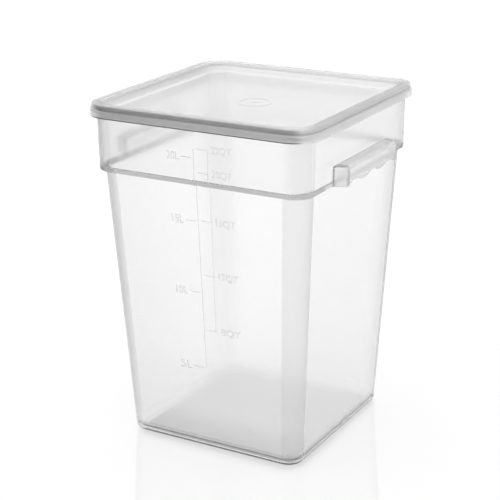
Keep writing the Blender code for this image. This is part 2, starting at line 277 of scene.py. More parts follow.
def join(piece: Piece, other: Piece, how: Join) -> None:
    """Adds another solid to a piece, or cuts it from the piece, and removes the other solid.

    Args:
        piece: The piece that is changed.
        other: The solid that is used up.
        how: Whether it is added or cut.
    """
    modifier = piece.modifiers.new(other.name, 'BOOLEAN')
    modifier.operation = how.value
    modifier.solver = 'EXACT'
    modifier.object = other
    weld = piece.modifiers.new("weld", 'WELD')
    weld.merge_threshold = WELD
    bake_modifiers(piece)
    bpy.data.objects.remove(other)


def bake_modifiers(piece: Piece) -> None:
    """Turns a piece and its modifiers into one plain mesh.

    Args:
        piece: The piece.
    """
    depsgraph = bpy.context.evaluated_depsgraph_get()
    mesh = bpy.data.meshes.new_from_object(piece.evaluated_get(depsgraph))
    mesh.name = piece.name
    piece.modifiers.clear()
    piece.data = mesh


# Finishes


def linear(code: str) -> tuple[float, float, float, float]:
    """Turns an sRGB hex colour into the linear one that a shader takes.

    Args:
        code: Six hex digits after a hash sign.

    Returns:
        Red, green, blue and an alpha of 1.
    """
    values = [int(code[place:place + 2], 16) / 255 for place in (1, 3, 5)]
    red, green, blue = (v / 12.92 if v <= 0.04045 else ((v + 0.055) / 1.055) ** 2.4 for v in values)
    return red, green, blue, 1.0


def add_node(
    tree: Tree, kind: str, inputs: dict[str | int, Any] | None = None, **options: Any
) -> bpy.types.NodeOutputs:
    """Adds a shader node with its settings, values and links.

    Inputs that share a name go by number. Mix takes the share as 0, numbers as 2 and 3, and colours as 6
    and 7. Map Range takes the value as 0, where it runs from and to as 1 and 2, and what that turns to as 3
    and 4.

    Args:
        tree: Node tree that takes the node.
        kind: The node's type.
        inputs: What its inputs get, by name or number: a value, or the output of another node.
        options: The node's own settings.

    Returns:
        The node's outputs.
    """
    node = tree.nodes.new("ShaderNode" + kind)
    for name, value in options.items():
        setattr(node, name, value)
    for name, value in (inputs or {}).items():
        if isinstance(value, Socket):
            tree.links.new(value, node.inputs[name])
        else:
            node.inputs[name].default_value = value
    return node.outputs


def lay_over(tree: Tree, look: Look, amount: Socket, colour: str, roughness: float) -> Look:
    """Lays a tint over a look, and makes it rougher.

    Args:
        tree: Node tree that takes the nodes.
        look: The colour and roughness that lie under it.
        amount: Output that is 1 where the tint covers and 0 where it doesn't.
        colour: The tint, as an sRGB hex colour.
        roughness: What it adds to the roughness.

    Returns:
        The new colour and roughness.
    """
    tinted = add_node(tree, "Mix", {0: amount, 6: look[0], 7: linear(colour)}, data_type='RGBA')
    rougher = add_node(tree, "Math", {0: amount, 1: roughness, 2: look[1]}, operation='MULTIPLY_ADD')
    return tinted[2], rougher[0]


def grain_scale(size_mm: float) -> float:
    """Returns the scale of a noise on Object coordinates whose grains are the given size in millimetres."""
    return 1000 / size_mm


class Across(Enum):
    """Distances that a zone of a moulding is measured by."""

    SIDEWAYS = "from the middle towards a handle"
    LENGTHWISE = "from the middle towards the front or the back"
    UPWARDS = "from the foot up"
    FORWARDS = "from the middle towards the front, on that side alone"
    CORNERWARDS = "towards the corner between the front and the right-hand handle"
    OUTWARDS = "half width of the rounded outline"


@dataclass(frozen=True)
class Span:
    """A stretch of one distance, with edges that fade over the given length."""

    across: Across
    low: float
    high: float
    fade: float = 0.0002


@dataclass(frozen=True)
class Zone:
    """A zone of a moulding, where all its spans overlap: extra roughness, and a tint that is often painted
    shade.
    """

    spans: tuple[Span, ...]
    colour: str
    roughness: float = 0.0


@dataclass(frozen=True)
class CornerTexture:
    """The coarser texture that the tub's tool has in its rounded corners.

    Light leaves the corners more scattered than the flat walls, so each corner reads as a soft grey band with
    sharp edges, where the flat walls start. Its speckle is drawn coarser than the tool's, so that it shows.
    """

    foot_centre: float
    ledge_centre: float
    collar_centre: float
    ledge: float
    edge: float = 0.0005
    collar_edge: float = 0.01
    collar_share: float = 0.85
    foot_share: float = 0.5
    full_from: float = 0.19
    roughness: float = 0.2
    colour: str = "#F2F2F2"
    speckle_mm: float = 1.8
    speckle_share: float = 0.2
    speckle_low: float = 0.35
    speckle_high: float = 0.65

    def _mask(self, tree: Tree, place: Socket) -> Socket:
        """Finds the corners. The texture fades towards the foot, where the tool is polished.

        Args:
            tree: Node tree that takes the nodes.
            place: The Object coordinates.

        Returns:
            An output that is 1 in the body's corners, less in the collar's, and 0 on the flat walls.
        """
        axes = add_node(tree, "SeparateXYZ", {0: place})
        across = [add_node(tree, "Math", {0: axes[axis]}, operation='ABSOLUTE')[0] for axis in ("X", "Y")]
        nearer = add_node(tree, "Math", dict(enumerate(across)), operation='MINIMUM')[0]
        body = add_node(tree, "MapRange", {
            0: axes["Z"], 1: 0.0, 2: self.ledge, 3: self.foot_centre, 4: self.ledge_centre})[0]
        collar = add_node(tree, "Math", {0: axes["Z"], 1: self.ledge}, operation='GREATER_THAN')[0]
        centre = add_node(tree, "Mix", {0: collar, 2: body, 3: self.collar_centre})[0]
        past = add_node(tree, "Math", {0: nearer, 1: centre}, operation='SUBTRACT')[0]
        fading = add_node(tree, "MapRange", {
            0: axes["Z"], 1: 0.0, 2: self.full_from, 3: self.foot_share, 4: 1.0})[0]
        strength = add_node(tree, "Mix", {0: collar, 2: fading, 3: self.collar_share})[0]
        edge = add_node(tree, "Mix", {0: collar, 2: self.edge, 3: self.collar_edge})[0]
        return add_node(tree, "MapRange", {0: past, 1: 0.0, 2: edge, 3: 0.0, 4: strength})[0]

    def over(self, tree: Tree, place: Socket, look: Look) -> Look:
        """Lays the texture over the corners.

        Args:
            tree: Node tree that takes the nodes.
            place: The Object coordinates.
            look: The colour and roughness of the flat walls.

        Returns:
            The colour and roughness, with the corners in them.
        """
        speckle = add_node(tree, "TexNoise", {
            "Vector": place, "Scale": grain_scale(self.speckle_mm), "Detail": 3.0, "Roughness": 0.7})
        grain = add_node(tree, "MapRange", {
            0: speckle["Fac"], 1: self.speckle_low, 2: self.speckle_high, 3: 1 - self.speckle_share, 4: 1.0})
        amount = add_node(
            tree, "Math", {0: self._mask(tree, place), 1: grain[0]}, operation='MULTIPLY', use_clamp=True)
        return lay_over(tree, look, amount[0], self.colour, self.roughness)


@dataclass(frozen=True)
class MouldedPolypropylene:
    """Natural polypropylene, injection moulded, unpigmented.

    It is milky and lets light through without showing an image. Its walls are near white with a soft satin
    sheen, and greyer where several lie behind each other.
    """

    name: str
    colour: str
    cloudy_colour: str
    roughness: float
    roughness_spread: float
    cloud_mm: float
    refraction: float = 1.49
    clearness: float = 0.985
    texture_mm: float = 0.6
    texture_depth: float = 0.00002
    texture_strength: float = 0.015
    zones: tuple[Zone, ...] = ()
    zone_centre: float = 0.0
    corners: CornerTexture | None = None

    def material(self) -> bpy.types.Material:
        """Builds the material from nodes, on its first use.

        Returns:
            The material.
        """
        found = bpy.data.materials.get(self.name)
        if found is not None:
            return found
        material = bpy.data.materials.new(self.name)
        material.use_nodes = True
        tree = material.node_tree
        shader = tree.nodes["Principled BSDF"].inputs
        shader["IOR"].default_value = self.refraction
        shader["Transmission Weight"].default_value = self.clearness
        place = add_node(tree, "TexCoord")["Object"]
        # Flow of the melt: faint clouds, tens of millimetres wide, where the wall is a little denser
        clouds = add_node(tree, "TexNoise", {
            "Vector": place, "Scale": grain_scale(self.cloud_mm), "Detail": 3.0, "Roughness": 0.5,
            "Distortion": 0.6})
        colour = add_node(
            tree, "Mix", {0: clouds["Fac"], 6: linear(self.colour), 7: linear(self.cloudy_colour)},
            data_type='RGBA')
        # Satin of the tool: grains are under a tenth of a millimetre, drawn about ten times as coarse to show
        texture = add_node(tree, "TexNoise", {
            "Vector": place, "Scale": grain_scale(self.texture_mm), "Detail": 2.0, "Roughness": 0.6})["Fac"]
        roughness = add_node(tree, "MapRange", {
            0: texture, 3: self.roughness - self.roughness_spread, 4: self.roughness + self.roughness_spread})
        look = (colour[2], roughness[0])
        if self.corners is not None:
            look = self.corners.over(tree, place, look)
        if self.zones:
            look = self._with_zones(tree, place, look)
        bump = add_node(tree, "Bump", {
            "Strength": self.texture_strength, "Distance": self.texture_depth, "Height": texture})
        for name, socket in zip(("Base Color", "Roughness", "Normal"), (*look, bump["Normal"])):
            tree.links.new(socket, shader[name])
        return material

    def _with_zones(self, tree: Tree, place: Socket, look: Look) -> Look:
        """Lays the zones over the rest, each over the ones before it.

        Args:
            tree: Node tree that takes the nodes.
            place: The Object coordinates.
            look: The colour and roughness of the rest.

        Returns:
            The colour and roughness, with the zones in them.
        """
        unsigned = add_node(tree, "VectorMath", {0: place}, operation='ABSOLUTE')[0]
        # Half width of the rounded outline that a point lies on: its distance from the corner centres' square
        centre = self.zone_centre
        past = add_node(tree, "VectorMath", {0: unsigned, 1: (centre, centre, 0)}, operation='SUBTRACT')[0]
        level = add_node(tree, "VectorMath", {0: past, 1: (1, 1, 0)}, operation='MULTIPLY')[0]
        beyond = add_node(tree, "VectorMath", {0: level, 1: (0, 0, 0)}, operation='MAXIMUM')[0]
        reach = add_node(tree, "VectorMath", {0: beyond}, operation='LENGTH')["Value"]
        outwards = add_node(tree, "Math", {0: reach, 1: centre}, operation='ADD')
        axes = add_node(tree, "SeparateXYZ", {0: unsigned})
        signed = add_node(tree, "SeparateXYZ", {0: place})
        forwards = add_node(tree, "Math", {0: signed["Y"], 1: -1.0}, operation='MULTIPLY')
        cornerwards = add_node(tree, "Math", {0: signed["X"], 1: signed["Y"]}, operation='SUBTRACT')
        measures = {
            Across.SIDEWAYS: axes["X"], Across.LENGTHWISE: axes["Y"], Across.UPWARDS: axes["Z"],
            Across.FORWARDS: forwards[0], Across.CORNERWARDS: cornerwards[0], Across.OUTWARDS: outwards[0]}
        for zone in self.zones:
            inside = None
            for span in zone.spans:
                middle = (span.low + span.high) / 2
                half = (span.high - span.low) / 2
                offset = add_node(
                    tree, "Math", {0: measures[span.across], 1: middle}, operation='SUBTRACT')[0]
                away = add_node(tree, "Math", {0: offset}, operation='ABSOLUTE')[0]
                within = add_node(tree, "MapRange", {
                    0: away, 1: half - span.fade / 2, 2: half + span.fade / 2, 3: 1.0, 4: 0.0})[0]
                if inside is not None:
                    within = add_node(tree, "Math", {0: inside, 1: within}, operation='MULTIPLY')[0]
                inside = within
            look = lay_over(tree, look, inside, zone.colour, zone.roughness)
        return look


# Solid polypropylene has an IOR of 1.49. The two mouldings have a lower one, at which their thin milky rims
# and corners look as pale as in the photograph. The tub has a soft sheen on its flat walls.
TUB_PLASTIC = MouldedPolypropylene(
    name="natural_polypropylene_moulded_satin", colour="#FCFCFC", cloudy_colour="#FAFAFA",
    roughness=0.18, roughness_spread=0.015, cloud_mm=60, refraction=1.38)
# The lid's colour is a little greyer: painted shade for its rim, which is seen on edge
LID_PLASTIC = MouldedPolypropylene(
    name="natural_polypropylene_lid_moulded", colour="#F9F9F9", cloudy_colour="#F6F6F6",
    roughness=0.17, roughness_spread=0.02, cloud_mm=50, refraction=1.22)
# The volume scale is frosted, so that its strokes stand out as fine grey lines
SCALE_PLASTIC = MouldedPolypropylene(
    name="natural_polypropylene_frosted_relief", colour="#FCFCFC", cloudy_colour="#F8F8F8",
    roughness=0.28, roughness_spread=0.04, cloud_mm=20)


# The container


@dataclass(frozen=True)
class Mouth:
    """The tub's mouth, whose corner centres the collar, the lip and the lid share."""

    height: float = 0.4004
    half: float = 0.1356
    corner: float = 0.0235
    wall: float = 0.0025
    lip_reach: float = 0.0033

    def rings(self, section: Section) -> list[Ring]:
        """Returns rings round the mouth's corner centres, one for each point of a section."""
        return [Ring(half, self.corner + half - self.half, height) for half, height in section]


def both_sides(side: Sequence[Corner]) -> list[Corner]:
    """Returns a plan that is the same on both sides of the X axis, from the corners on its +Y side."""
    return [Corner(corner.x, -corner.y, corner.radius) for corner in reversed(side)] + list(side)


@dataclass(frozen=True)
class Handle:
    """One side handle: a hollow grip, open below, with finger scallops in its outer wall."""

    seat_x: float
    root_x: float
    face_x: float
    foot: float
    draft: float = 0.001
    height: float = 0.0228
    half_length: float = 0.0695
    end_slant: float = 0.0055
    wall: float = 0.0022
    corner: float = 0.006
    root: float = 0.009
    edge: float = 0.0042
    scallops: int = 3
    scallop_pitch: float = 0.0432
    scallop_width: float = 0.029
    scallop_depth: float = 0.0042
    scallop_ramp: float = 0.008
    scallop_radius: float = 0.008
    tooth_lift: float = 0.0008
    tooth_radius: float = 0.003
    overrun: float = 0.004
    steps: int = 10

    @property
    def top(self) -> float:
        """Height of the upper side."""
        return self.foot + self.height

    def _end_y(self, face_x: float, inset: float, x: float) -> float:
        """Distance from the middle to the slanted end at x, with the end moved in by inset."""
        slant = self.end_slant / (face_x - self.seat_x)
        return self.half_length - inset * math.hypot(1, slant) - slant * (x - self.seat_x)

    def _plan(self, face_x: float, inset: float) -> list[Corner]:
        """Plan of the grip, with roots that flare into the collar.

        Args:
            face_x: Place of the outer face.
            inset: How far the outer face and the ends are moved in.

        Returns:
            Corners of the plan.
        """
        front = face_x - inset
        flare = self.half_length + 2 * self.root
        return both_sides((
            Corner(front, self._end_y(face_x, inset, front), self.corner - inset),
            Corner(self.seat_x, self._end_y(face_x, inset, self.seat_x), self.root + inset),
            Corner(self.seat_x, flare),
            Corner(self.root_x, flare)))

    def _pocket_plan(self, face_x: float, inset: float) -> list[Corner]:
        """Plan of the hollow, moved in from the grip's and open to the collar.

        Args:
            face_x: Place of the grip's outer face.
            inset: How far the hollow is moved in from it.

        Returns:
            Corners of the plan.
        """
        back = self.seat_x - self.overrun
        front = face_x - inset
        return both_sides((
            Corner(front, self._end_y(face_x, inset, front), self.corner - inset),
            Corner(back, self._end_y(face_x, inset, back))))

    def _grip(self) -> Piece:
        """Builds the outer shape, with its upper edge rounded.

        Returns:
            The grip, still solid.
        """
        solid = GrownSolid(self._plan(self.face_x - self.draft, 0), self.foot, self.steps)
        for reach, height in arc(0, self.top - self.edge, self.edge, 0, 90, self.steps):
            solid.grow(self._plan(self.face_x, self.edge - reach), height)
        return add_piece("grip", solid.bm)

    def _pocket(self) -> Piece:
        """Builds the hollow, with a rounded edge round its ceiling.

        Returns:
            The solid that is cut from the grip.
        """
        lower_x = self.face_x - self.draft
        solid = GrownSolid(self._pocket_plan(lower_x, self.wall), self.foot - self.overrun, self.steps)
        for reach, height in arc(0, self.top - self.edge, self.edge - self.wall, 0, 90, self.steps):
            solid.grow(self._pocket_plan(lower_x, self.edge - reach), height)
        return add_piece("pocket", solid.bm)

    def _scallop_cut(self) -> Piece:
        """Builds the wave that is cut up into the outer wall, with blunt teeth between the scallops.

        Returns:
            The solid that is cut from the grip.
        """
        tooth = self.foot + self.tooth_lift
        top = self.foot + self.scallop_depth
        half_run = self.scallop_width / 2 + self.scallop_pitch * (self.scallops - 1) / 2
        corners = [Corner(-half_run, self.foot - self.overrun)]
        for index in range(self.scallops):
            centre = self.scallop_pitch * (index - (self.scallops - 1) / 2)
            start = centre - self.scallop_width / 2
            end = centre + self.scallop_width / 2
            corners += [
                Corner(start, tooth, self.tooth_radius if index > 0 else 0.0),
                Corner(start + self.scallop_ramp, top, self.scallop_radius),
                Corner(end - self.scallop_ramp, top, self.scallop_radius),
                Corner(end, tooth, self.tooth_radius if index < self.scallops - 1 else 0.0),
            ]
        corners.append(Corner(half_run, self.foot - self.overrun))
        solid = GrownSolid(corners, self.face_x - self.draft - self.corner, self.steps)
        solid.grow(corners, self.face_x + self.overrun)
        upright = Matrix(((0, 0, 1, 0), (1, 0, 0, 0), (0, 1, 0, 0), (0, 0, 0, 1)))
        bmesh.ops.transform(solid.bm, matrix=upright, verts=solid.bm.verts)
        return add_piece("scallops", solid.bm)

    def build(self) -> Piece:
        """Builds both handles: the +X grip and its mirror image.

        Returns:
            The two as one solid.
        """
        grips = self._grip()
        join(grips, self._pocket(), Join.CUT)
        join(grips, self._scallop_cut(), Join.CUT)
        mirror = grips.modifiers.new("other_side", 'MIRROR')
        mirror.use_axis[0] = True
        mirror.use_mirror_merge = False
        bake_modifiers(grips)
        return grips


@dataclass(frozen=True)
class TubTones:
    """Where the tub's zones of tone start, end and fade, beside the parts that they follow."""

    skin: float = 0.0005
    fillet_inset: float = 0.0015
    fillet_foot: float = 0.0035
    fillet_over: float = 0.002
    near_start: float = 0.006
    near_fade: float = 0.024
    left_face: float = 0.1
    left_face_fade: float = 0.004
    left_end: float = 0.05
    left_end_fade: float = 0.1
    left_foot: float = 0.01
    left_foot_fade: float = 0.01
    shade_start: float = 0.08
    shade_fade: float = 0.1
    edge_inset: float = 0.0022
    edge_foot: float = 0.003
    edge_top: float = 0.0085
    edge_fade: float = 0.003
    foot_top: float = 0.0042
    foot_fade: float = 0.0008
    corner_fade: float = 0.012
    ledge_over: float = 0.0003
    grip_over: float = 0.002
    root_inset: float = 0.006
    root_over: float = 0.004
    face_over: float = 0.001
    face_depth: float = 0.002
    face_height: float = 0.011
    face_fade: float = 0.006


@dataclass
class Tub:
    """The tub: tapered body, ledge, collar, hooked lip and both handles, one moulding."""

    mouth: Mouth
    tones: TubTones = TubTones()
    collar_height: float = 0.0752
    collar_draft: float = 0.00085
    ledge_reach: float = 0.00415
    base_half: float = 0.1118
    base_corner: float = 0.019
    body_corner: float = 0.0255
    floor: float = 0.003
    ledge_thickness: float = 0.0045
    ledge_edge: float = 0.0015
    base_edge: float = 0.006
    floor_fillet: float = 0.008
    foot_width: float = 0.008
    foot_height: float = 0.001
    lip_wall: float = 0.0016
    lip_top: float = 0.0022
    lip_depth: float = 0.005
    lip_edge: float = 0.0009
    handle_lift: float = 0.0004
    handle_reach: float = 0.0155
    handle_seat_share: float = 0.6
    handle_root_share: float = 0.75
    fillet_steps: int = 8

    @property
    def ledge(self) -> float:
        """Height of the ledge's underside."""
        return self.mouth.height - self.collar_height

    @property
    def collar_foot(self) -> float:
        """Outer half width of the collar where it leaves the ledge."""
        return self.mouth.half - self.collar_draft

    def body_half(self, height: float) -> float:
        """Outer half width of the tapered body at a height."""
        return mix(self.base_half, self.collar_foot - self.ledge_reach, height / self.ledge)

    def collar_half(self, height: float) -> float:
        """Outer half width of the collar at a height."""
        return mix(self.collar_foot, self.mouth.half, (height - self.ledge) / self.collar_height)

    def _body_rings(self, place: float, section: Section) -> list[Ring]:
        """Rings that follow the body's outline at one height.

        Args:
            place: Height that the outline is taken at.
            section: Half width and height of each ring.

        Returns:
            The rings.
        """
        rounding = mix(self.base_corner, self.body_corner, place / self.ledge) - self.body_half(place)
        return [Ring(half, rounding + half, height) for half, height in section]

    def _underside(self) -> list[Ring]:
        """Rings of the raised middle of the base, the foot round it and the rounded lower edge.

        Returns:
            The rings, from the middle outwards.
        """
        edge = self.base_edge
        outer = self.body_half(edge) - edge
        foot = outer - self.foot_width
        section = [(foot - self.foot_height, self.foot_height), (foot, 0)]
        return self._body_rings(edge, section + arc(outer, edge, edge, -90, 0, self.fillet_steps))

    def _ledge(self) -> list[Ring]:
        """Rings of the ledge's outside.

        Returns:
            The rings, from the body to the foot of the collar.
        """
        edge = self.ledge_edge
        start = self._body_rings(self.ledge, [(self.body_half(self.ledge), self.ledge)])
        return start + self.mouth.rings(arc(self.collar_foot - edge, self.ledge + edge, edge, -90, 0))

    def _lip(self) -> list[Ring]:
        """Rings of the lip, which hooks down over the collar.

        Returns:
            The rings, from the collar out and round to the mouth.
        """
        outer = self.mouth.half + self.mouth.lip_reach
        hook = self.mouth.height - self.lip_top
        foot = self.mouth.height - self.lip_depth
        edge = self.lip_wall / 2
        section = [(self.collar_half(hook), hook), (outer - self.lip_wall, hook)]
        section += arc(outer - edge, foot + edge, edge, -180, 0, 2 * EDGE_STEPS)
        rim = self.mouth.height - self.lip_edge
        section += arc(outer - self.lip_edge, rim, self.lip_edge, 0, 90)
        inner = self.mouth.half - self.mouth.wall
        section += arc(inner + self.lip_edge, rim, self.lip_edge, 90, 180)
        return self.mouth.rings(section)

    def _inside(self) -> list[Ring]:
        """Rings of the inside: collar, inner ledge, body and the fillet round the floor.

        Returns:
            The rings, downwards.
        """
        edge = self.ledge_edge
        wall = self.mouth.wall
        step = self.ledge + self.ledge_thickness
        rings = self.mouth.rings(arc(self.collar_half(step) - wall - edge, step + edge, edge, 0, -90))
        half = self.body_half(self.ledge) - wall + edge
        rings += self._body_rings(self.ledge, arc(half, step - edge, edge, 90, 180))
        fillet = self.foot_height + self.floor + self.floor_fillet
        half = self.body_half(fillet) - wall - self.floor_fillet
        section = arc(half, fillet, self.floor_fillet, 0, -90, self.fillet_steps)
        return rings + self._body_rings(fillet, section)

    def corners(self) -> CornerTexture:
        """Returns the texture of the tool in the tub's rounded corners."""
        return CornerTexture(
            foot_centre=self.base_half - self.base_corner,
            ledge_centre=self.collar_foot - self.ledge_reach - self.body_corner,
            collar_centre=self.mouth.half - self.mouth.corner,
            ledge=self.ledge)

    def zones(self) -> tuple[Zone, ...]:
        """Tones of the tub's parts, from the walls and the base to the handles, many of them painted shade.

        Returns:
            The zones, each laid over the ones before it.
        """
        tones = self.tones
        grip = self.handle()
        out, up, ahead, right = Across.OUTWARDS, Across.UPWARDS, Across.FORWARDS, Across.CORNERWARDS
        side, along = Across.SIDEWAYS, Across.LENGTHWISE
        inside = self.base_half - self.base_edge
        floor = (Span(out, 0.0, inside), Span(up, BELOW, self.foot_height + self.floor + tones.skin))
        fillet = (
            Span(out, inside - self.floor_fillet, self.base_half - tones.fillet_inset),
            Span(up, tones.fillet_foot, self.floor + self.floor_fillet + tones.fillet_over))
        near = Span(right, tones.near_start, BEYOND, tones.near_fade)
        lip = self.mouth.height - self.lip_depth
        left = (
            Span(ahead, tones.left_face, BEYOND, tones.left_face_fade),
            Span(right, -BEYOND, tones.left_end, tones.left_end_fade),
            Span(up, tones.left_foot, lip, tones.left_foot_fade))
        ledge_top = self.ledge + self.ledge_thickness
        collar = Span(up, ledge_top, lip)
        centre = self.mouth.half - self.mouth.corner
        face = grip.face_x + tones.face_over
        beside = Span(up, self.ledge, grip.top + tones.grip_over)
        return (
            # Painted shade on the left part of the front wall, where the light in the photograph is lower
            Zone(left, "#F3F3F3"),
            # Painted shade on the floor, darker towards the front; the fillet round it, with painted shade on
            # the near sides
            Zone(floor, "#F4F4F4"),
            Zone((floor[0], Span(ahead, tones.shade_start, BEYOND, tones.shade_fade), floor[1]), "#D4D4D4"),
            Zone(fillet, "#FFFFFF", roughness=0.12),
            Zone((*fillet, near), "#E0E0E0", roughness=0.06),
            # Painted shade on the rounded lower edge, and the dark line of the foot, a painted contact shadow,
            # both on the near sides
            Zone((
                Span(out, self.base_half - tones.edge_inset, BEYOND), near,
                Span(up, tones.edge_foot, tones.edge_top, tones.edge_fade)), "#D4D4D4", roughness=0.04),
            Zone((
                Span(out, inside, BEYOND), near,
                Span(up, BELOW, tones.foot_top, tones.foot_fade)), "#303030"),
            # The collar and its corners, and painted shade on its left part
            Zone((collar,), "#F5F5F5"),
            Zone((
                Span(side, centre, BEYOND, tones.corner_fade),
                Span(along, centre, BEYOND, tones.corner_fade), collar), "#EEEEEE"),
            Zone((*left, collar), "#E9E9E9"),
            # Painted shade on the thick ledge, which is seen on edge
            Zone((
                Span(up, self.ledge - tones.ledge_over, ledge_top + tones.ledge_over),),
                "#C2C2C2", roughness=0.05),
            # The grips with the collar behind them, their roots and their faces
            Zone((
                Span(side, self.collar_foot - self.mouth.wall - tones.face_over, face),
                Span(along, 0.0, grip.half_length + 2 * grip.root), beside), "#FFFFFF", roughness=0.04),
            Zone((
                Span(side, self.collar_foot + tones.skin, face),
                Span(
                    along, grip.half_length - grip.end_slant - tones.root_inset,
                    grip.half_length + tones.root_over),
                beside), "#FFFFFF", roughness=0.2),
            Zone((
                Span(side, grip.face_x - grip.wall - tones.face_depth, face),
                Span(up, grip.foot - tones.face_depth, grip.foot + tones.face_height, tones.face_fade)),
                "#FAFAFA", roughness=0.03))

    def handle(self) -> Handle:
        """Returns the handle that sits on the collar."""
        return Handle(
            seat_x=self.collar_foot - self.mouth.wall * self.handle_seat_share,
            root_x=self.collar_foot - self.mouth.wall * self.handle_root_share,
            face_x=self.collar_foot + self.handle_reach,
            foot=self.ledge + self.handle_lift)

    def build(self, finish: MouldedPolypropylene) -> Piece:
        """Builds and dresses the tub.

        Args:
            finish: The tub's finish.

        Returns:
            The tub's piece.
        """
        rings = self._underside() + self._ledge() + self._lip() + self._inside()
        piece = grow_rings("tub_moulding", rings)
        join(piece, self.handle().build(), Join.ADD)
        own = replace(
            finish, corners=self.corners(), zones=self.zones(), zone_centre=self.base_half - self.base_corner)
        return dress(piece, own, Body.CONTAINER, Slot.TUB, "container_tub")


@dataclass(frozen=True)
class LidTones:
    """Where the lid's zones of tone start, end and fade, beside the parts that they follow."""

    groove_inset: float = 0.0011
    groove_reach: float = 0.0006
    groove_under: float = 0.0004
    groove_over: float = 0.0022
    front_inset: float = 0.0045
    front_fade: float = 0.006
    front_top: float = 0.0004
    front_groove_inset: float = 0.0022
    front_groove_top: float = 0.0008
    top_fade: float = 0.0008
    foot_under: float = 0.001
    foot_over: float = 0.0012


